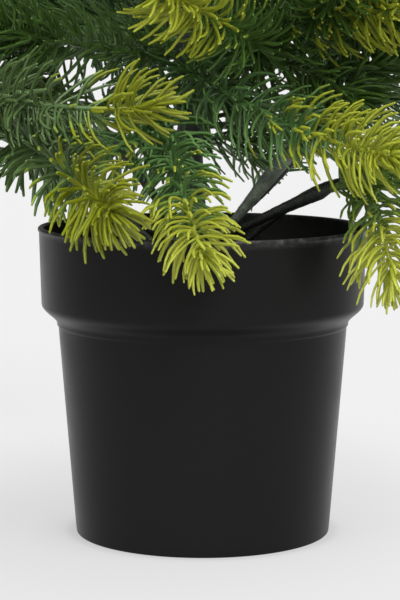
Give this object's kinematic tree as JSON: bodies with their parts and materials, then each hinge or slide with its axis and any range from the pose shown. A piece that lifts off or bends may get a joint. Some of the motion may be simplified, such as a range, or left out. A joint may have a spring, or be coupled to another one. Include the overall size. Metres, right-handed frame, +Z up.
{
  "type": "artificial potted spruce",
  "caption": "Artificial dwarf spruce: bound trunk, wrapped boughs and moulded green needles with lime tips, in a weighted black nursery pot.",
  "frame": {"origin": "on the pot's axis at its flat underside", "axes": "+Z up along the trunk; -Y is the front, the side with the lowest drooping shoot; +X is to the right of someone facing the front"},
  "size_m": [0.4507, 0.3998, 0.807],
  "materials": {
    "pot": "matte",
    "plug": "matte",
    "trunk_wrap": "matte",
    "bough_wrap": "matte",
    "needles": "satin"
  },
  "bodies": {
    "root": {"bough_back": "bough_wrap", "bough_back_left": "bough_wrap", "bough_back_right": "bough_wrap", "bough_left_back": "bough_wrap", "bough_left_front": "bough_wrap", "bough_left_low": "bough_wrap", "bough_right_back": "bough_wrap", "bough_right_high": "bough_wrap", "bough_right_low": "bough_wrap", "needles_back": "needles", "needles_back_left": "needles", "needles_back_right": "needles", "needles_front": "needles", "needles_front_high": "needles", "needles_front_right": "needles", "needles_leader": "needles", "needles_left_back": "needles", "needles_left_front": "needles", "needles_left_low": "needles", "needles_left_rear": "needles", "needles_left_upper": "needles", "needles_rear": "needles", "needles_right_back": "needles", "needles_right_high": "needles", "needles_right_low": "needles", "needles_right_rear": "needles", "needles_right_upper": "needles", "needles_upper_01": "needles", "needles_upper_02": "needles", "needles_upper_03": "needles", "needles_upper_04": "needles", "needles_upper_05": "needles", "needles_upper_06": "needles", "needles_upper_07": "needles", "needles_upper_08": "needles", "needles_upper_09": "needles", "needles_upper_10": "needles", "needles_upper_11": "needles", "needles_upper_12": "needles", "needles_upper_13": "needles", "needles_upper_14": "needles", "needles_upper_15": "needles", "needles_upper_16": "needles", "needles_upper_17": "needles", "needles_upper_18": "needles", "needles_upper_19": "needles", "needles_upper_20": "needles", "needles_upper_21": "needles", "needles_upper_22": "needles", "needles_upper_23": "needles", "needles_upper_24": "needles", "plug": "plug", "pot": "pot", "trunk": "trunk_wrap"}
  },
  "joints": []
}
